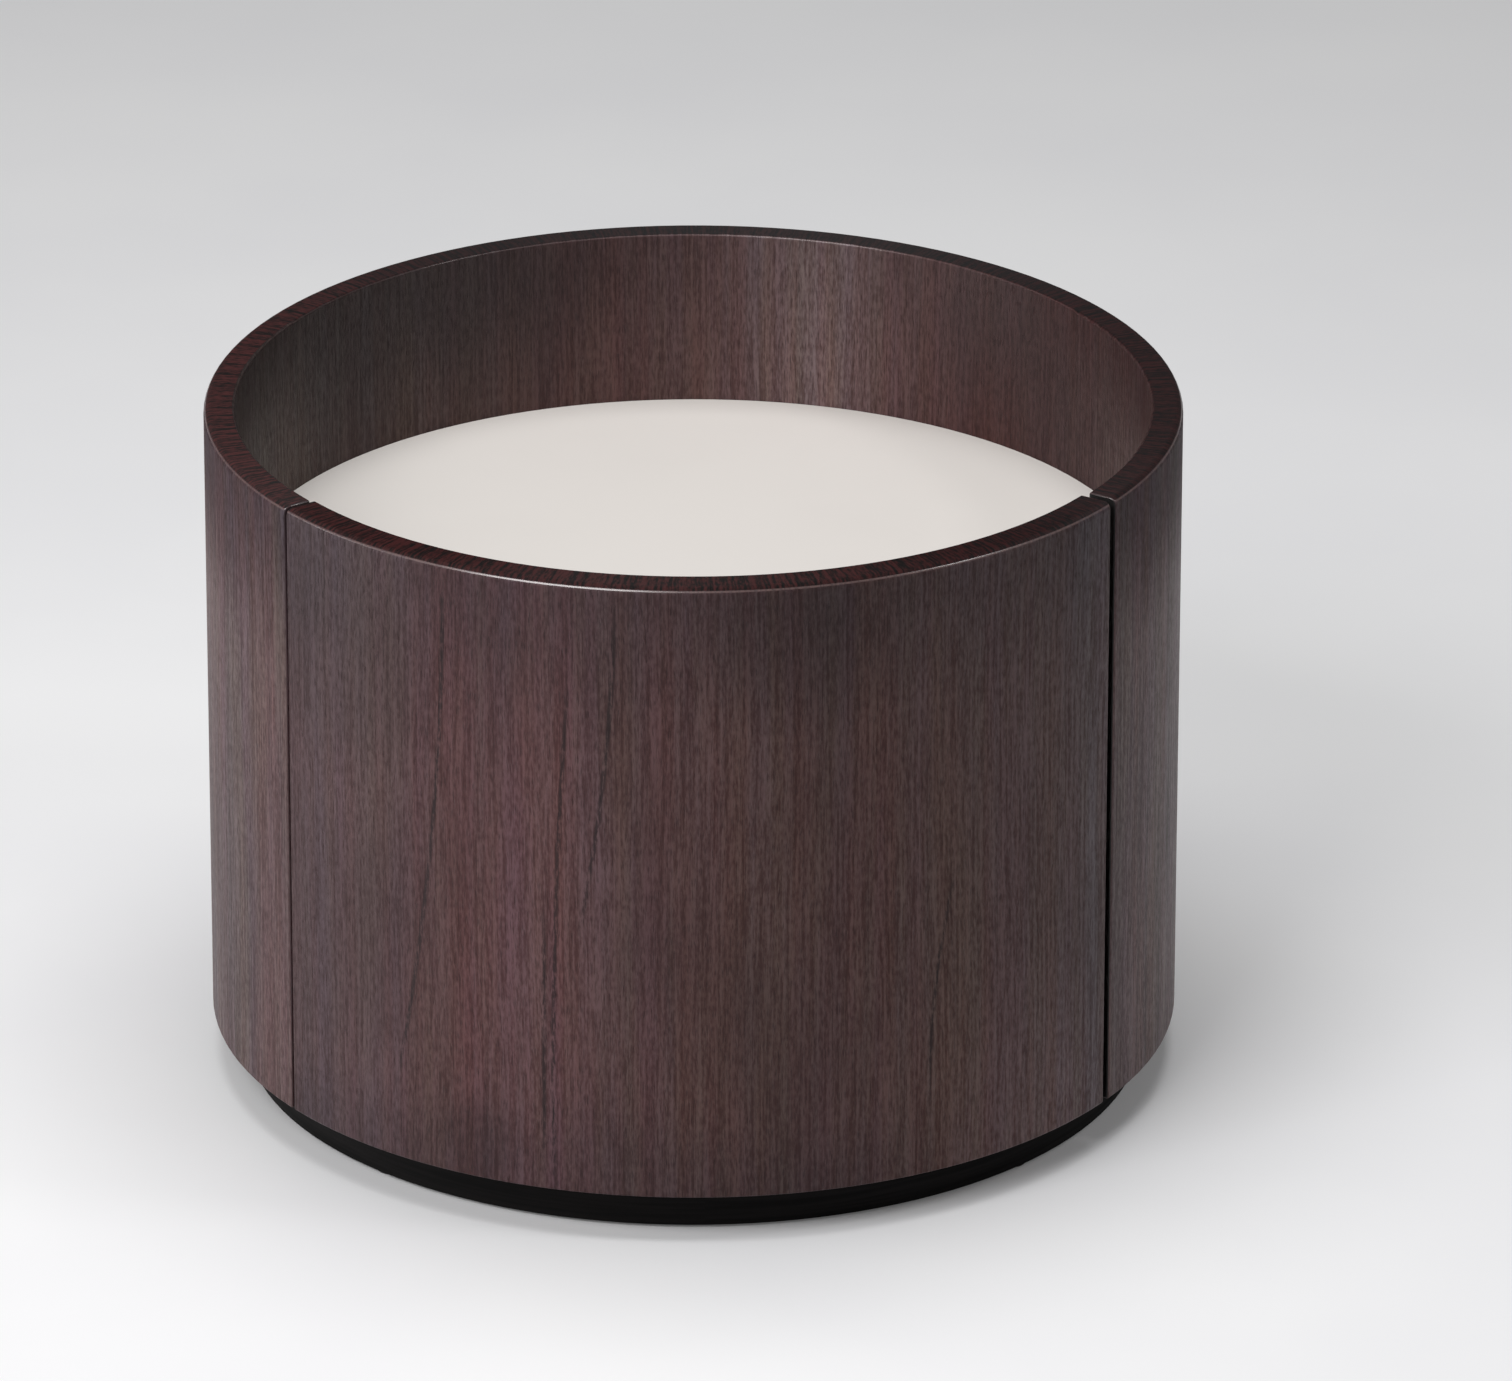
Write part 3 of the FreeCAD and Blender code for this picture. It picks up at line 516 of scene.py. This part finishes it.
def make_birch(name, thickness_axis, grain_axis, layered):
    s = Shader(name)
    spot = s.place()
    side_axis = X_AXIS + Y_AXIS + Z_AXIS - thickness_axis - grain_axis
    seed = 2.0 + thickness_axis + 3 * grain_axis
    across, along = spot[side_axis], spot[grain_axis]
    drift = s.streaks(across, along, 12.0, 2.5, seed, detail=1.0)
    across = s.plus(across, s.times(s.minus(drift, 0.5), BIRCH_DRIFT))
    figure = s.streaks(across, along, 45.0, 2.2, seed + 1, detail=3.0, roughness=0.55)
    fibres = s.streaks(across, along, 800.0, 22.0, seed + 2)
    tone = s.ramp(figure, [
        (0.30, colour(214, 184, 146)),
        (0.50, colour(221, 194, 157)),
        (0.70, colour(205, 171, 130)),
    ])
    tone = s.mix(s.span(fibres, 0.45, 0.75, to_high=0.35), tone, colour(178, 140, 98))
    if layered:
        on_edge = s.fall(s.size(s.normal()[thickness_axis]), 0.5, 0.6)
        tone = s.mix(on_edge, tone, birch_edge(s, spot, spot[thickness_axis]))
    rough = s.span(fibres, 0.3, 0.7, 0.42, 0.55)
    fibre_bump = s.bump(fibres, strength=0.2, distance=0.0002)
    return s.finish(Base_Color=tone, Roughness=rough, Normal=fibre_bump)


# Metals

def make_steel(name, base, tint, rough_low, rough_high):
    """Bare or plated steel: faint bright and dull patches, and fine lines along the runners."""
    s = Shader(name)
    x, y, z = s.place()
    lines = s.streaks(s.plus(x, z), y, across=2600.0, along=14.0, seed=1.0)
    patch = s.noise(s.vector(x, y, z), scale=60.0, detail=3.0)
    tone = s.mix(s.span(patch, 0.35, 0.65), base, tint)
    patchy = s.span(patch, 0.3, 0.7, rough_low, rough_high)
    drawn = s.span(lines, 0.3, 0.7, -0.05, 0.05)
    line_bump = s.bump(lines, strength=0.08, distance=0.0001)
    return s.finish(Base_Color=tone, Metallic=1.0, Roughness=s.plus(patchy, drawn), Normal=line_bump)


# Rubber and nylon

ROUGH_VARIATION = 0.06


def make_moulded(name, light, dark, rough, skin_scale):
    s = Shader(name)
    skin = s.noise(s.vector(*s.place()), skin_scale, detail=3.0)
    uneven = s.span(skin, 0.3, 0.7, rough - ROUGH_VARIATION, rough + ROUGH_VARIATION)
    skin_bump = s.bump(skin, strength=0.15, distance=0.0002)
    return s.finish(Base_Color=s.mix(skin, dark, light), Roughness=uneven, Normal=skin_bump)


# Which piece wears which material

def dress(material, *names):
    for name in names:
        slots = nodes[name].data.materials
        slots.clear()
        slots.append(material)


def dress_table():
    dress(make_veneer("shell_veneer", front=False), "carcass_shell")
    dress(make_veneer("front_veneer", front=True), "drawer_front")
    dress(make_lacquer(), "top_panel")
    dress(make_dark_board(), "bottom_panel", "plinth_ring")


def dress_birch():
    upright = make_birch("plywood_upright", X_AXIS, Y_AXIS, layered=True)
    dress(upright, "left_partition", "right_partition", *both("drawer_side"))
    cross = make_birch("plywood_cross", Y_AXIS, X_AXIS, layered=True)
    dress(cross, "rear_panel", "drawer_back")
    flat = make_birch("plywood_flat", Z_AXIS, Y_AXIS, layered=True)
    dress(flat, "drawer_bottom")
    solid_upright = make_birch("solid_upright", X_AXIS, Z_AXIS, layered=False)
    dress(solid_upright, *both("front_batten"), *both("rear_batten"), *both("corner_block"))
    solid_along = make_birch("solid_along", X_AXIS, Y_AXIS, layered=False)
    dress(solid_along, *both("top_cleat"))


def dress_hardware():
    sheet = make_steel("zinc_sheet", colour(196, 199, 203), colour(182, 187, 192), 0.28, 0.40)
    dress(sheet, *both("runner_cabinet"), *both("runner_middle"), *both("runner_drawer"))
    cage = make_steel("cage_steel", colour(150, 152, 154), colour(132, 133, 134), 0.32, 0.45)
    dress(cage, *both("outer_cage"), *both("inner_cage"))
    ball = make_steel("ball_steel", colour(214, 215, 217), colour(205, 206, 208), 0.10, 0.16)
    dress(ball, *both("outer_balls"), *both("inner_balls"))
    screw = make_steel("zinc_screw", colour(205, 201, 190), colour(190, 186, 176), 0.25, 0.38)
    dress(screw, *[name for name in nodes if name.endswith("_screws")])
    rubber = make_moulded("clear_rubber", colour(134, 128, 124), colour(116, 110, 107), 0.30, 300.0)
    dress(rubber, "seam_bumpers")
    nylon = make_moulded("black_nylon", colour(40, 40, 40), colour(28, 28, 28), 0.5, 500.0)
    dress(nylon, "floor_glides")


# Stage: pale floor, soft light and the photograph's view

FLOOR_REACH = 60.0
FLOOR_GLOW = 0.08
WORLD_STRENGTH = 0.10


def make_floor():
    mesh = bpy.data.meshes.new("floor")
    turns = ((-1, -1), (1, -1), (1, 1), (-1, 1))
    mesh.from_pydata([(FLOOR_REACH * x, FLOOR_REACH * y, 0.0) for x, y in turns], [], [(0, 1, 2, 3)])
    floor = bpy.data.objects.new("floor", mesh)
    bpy.context.scene.collection.objects.link(floor)
    s = Shader("pale_floor")
    cloud = s.noise(s.vector(*s.place()), scale=3.0, detail=3.0)
    tone = s.mix(s.span(cloud, 0.3, 0.7), colour(240, 240, 241), colour(236, 236, 238))
    rays = s.add("ShaderNodeLightPath").outputs
    mirrored = s.larger(rays["Is Glossy Ray"], rays["Is Transmission Ray"])
    seen = s.larger(rays["Is Camera Ray"], mirrored)
    glow = s.times(seen, FLOOR_GLOW)
    pale = s.finish(Base_Color=tone, Roughness=0.7, Emission_Color=WHITE, Emission_Strength=glow)
    mesh.materials.append(pale)


def make_lamp(name, place, aim, width, height, watts):
    data = bpy.data.lights.new(name, "AREA")
    data.shape = "RECTANGLE"
    data.size = width
    data.size_y = height
    data.energy = watts
    lamp = bpy.data.objects.new(name, data)
    lamp.location = place
    lamp.rotation_mode = "QUATERNION"
    lamp.rotation_quaternion = (Vector(aim) - Vector(place)).to_track_quat("-Z", "Y")
    lamp.visible_camera = False
    bpy.context.scene.collection.objects.link(lamp)


def make_light():
    world = bpy.data.worlds.new("studio")
    world.use_nodes = True
    background = world.node_tree.nodes["Background"]
    background.inputs["Color"].default_value = WHITE
    background.inputs["Strength"].default_value = WORLD_STRENGTH
    bpy.context.scene.world = world
    make_lamp("key", place=(-1.6, -2.2, 2.7), aim=(0, 0, 0.3), width=2.2, height=1.3, watts=60.0)
    make_lamp("side", place=(-3.2, -0.5, 0.7), aim=(0, 0, 0.2), width=2.0, height=1.2, watts=40.0)
    make_lamp("top", place=(0.0, 0.0, 3.0), aim=(0, 0, 0.3), width=1.8, height=1.8, watts=47.0)
    make_lamp("fill", place=(2.1, -0.7, 2.4), aim=(0, 0, 0.3), width=0.5, height=0.5, watts=8.0)


def make_camera():
    azimuth = math.radians(-1.70)
    elevation = math.radians(23.22)
    roll = math.radians(0.08)
    distance = 7.5
    middle_height = 0.214
    move_right = 0.0360
    move_up = 0.0049
    level_back = Vector((math.sin(azimuth), -math.cos(azimuth), 0.0))
    back = level_back * math.cos(elevation) + Vector((0.0, 0.0, math.sin(elevation)))
    side = Vector((math.cos(azimuth), math.sin(azimuth), 0.0))
    up = back.cross(side)
    target = Vector((0, 0, middle_height)) + move_right * side + move_up * up
    tilted_side = side * math.cos(roll) + up * math.sin(roll)
    tilted_up = up * math.cos(roll) - side * math.sin(roll)
    data = bpy.data.cameras.new("camera")
    data.sensor_width = 36.0
    data.lens = 309.3
    data.clip_end = 200.0
    camera = bpy.data.objects.new("camera", data)
    turn = Matrix((tilted_side, tilted_up, back)).transposed()
    camera.matrix_world = Matrix.Translation(target + distance * back) @ turn.to_4x4()
    bpy.context.scene.collection.objects.link(camera)
    bpy.context.scene.camera = camera


dress_table()
dress_birch()
dress_hardware()
make_floor()
make_light()
make_camera()
bpy.context.scene.view_settings.view_transform = "Standard"
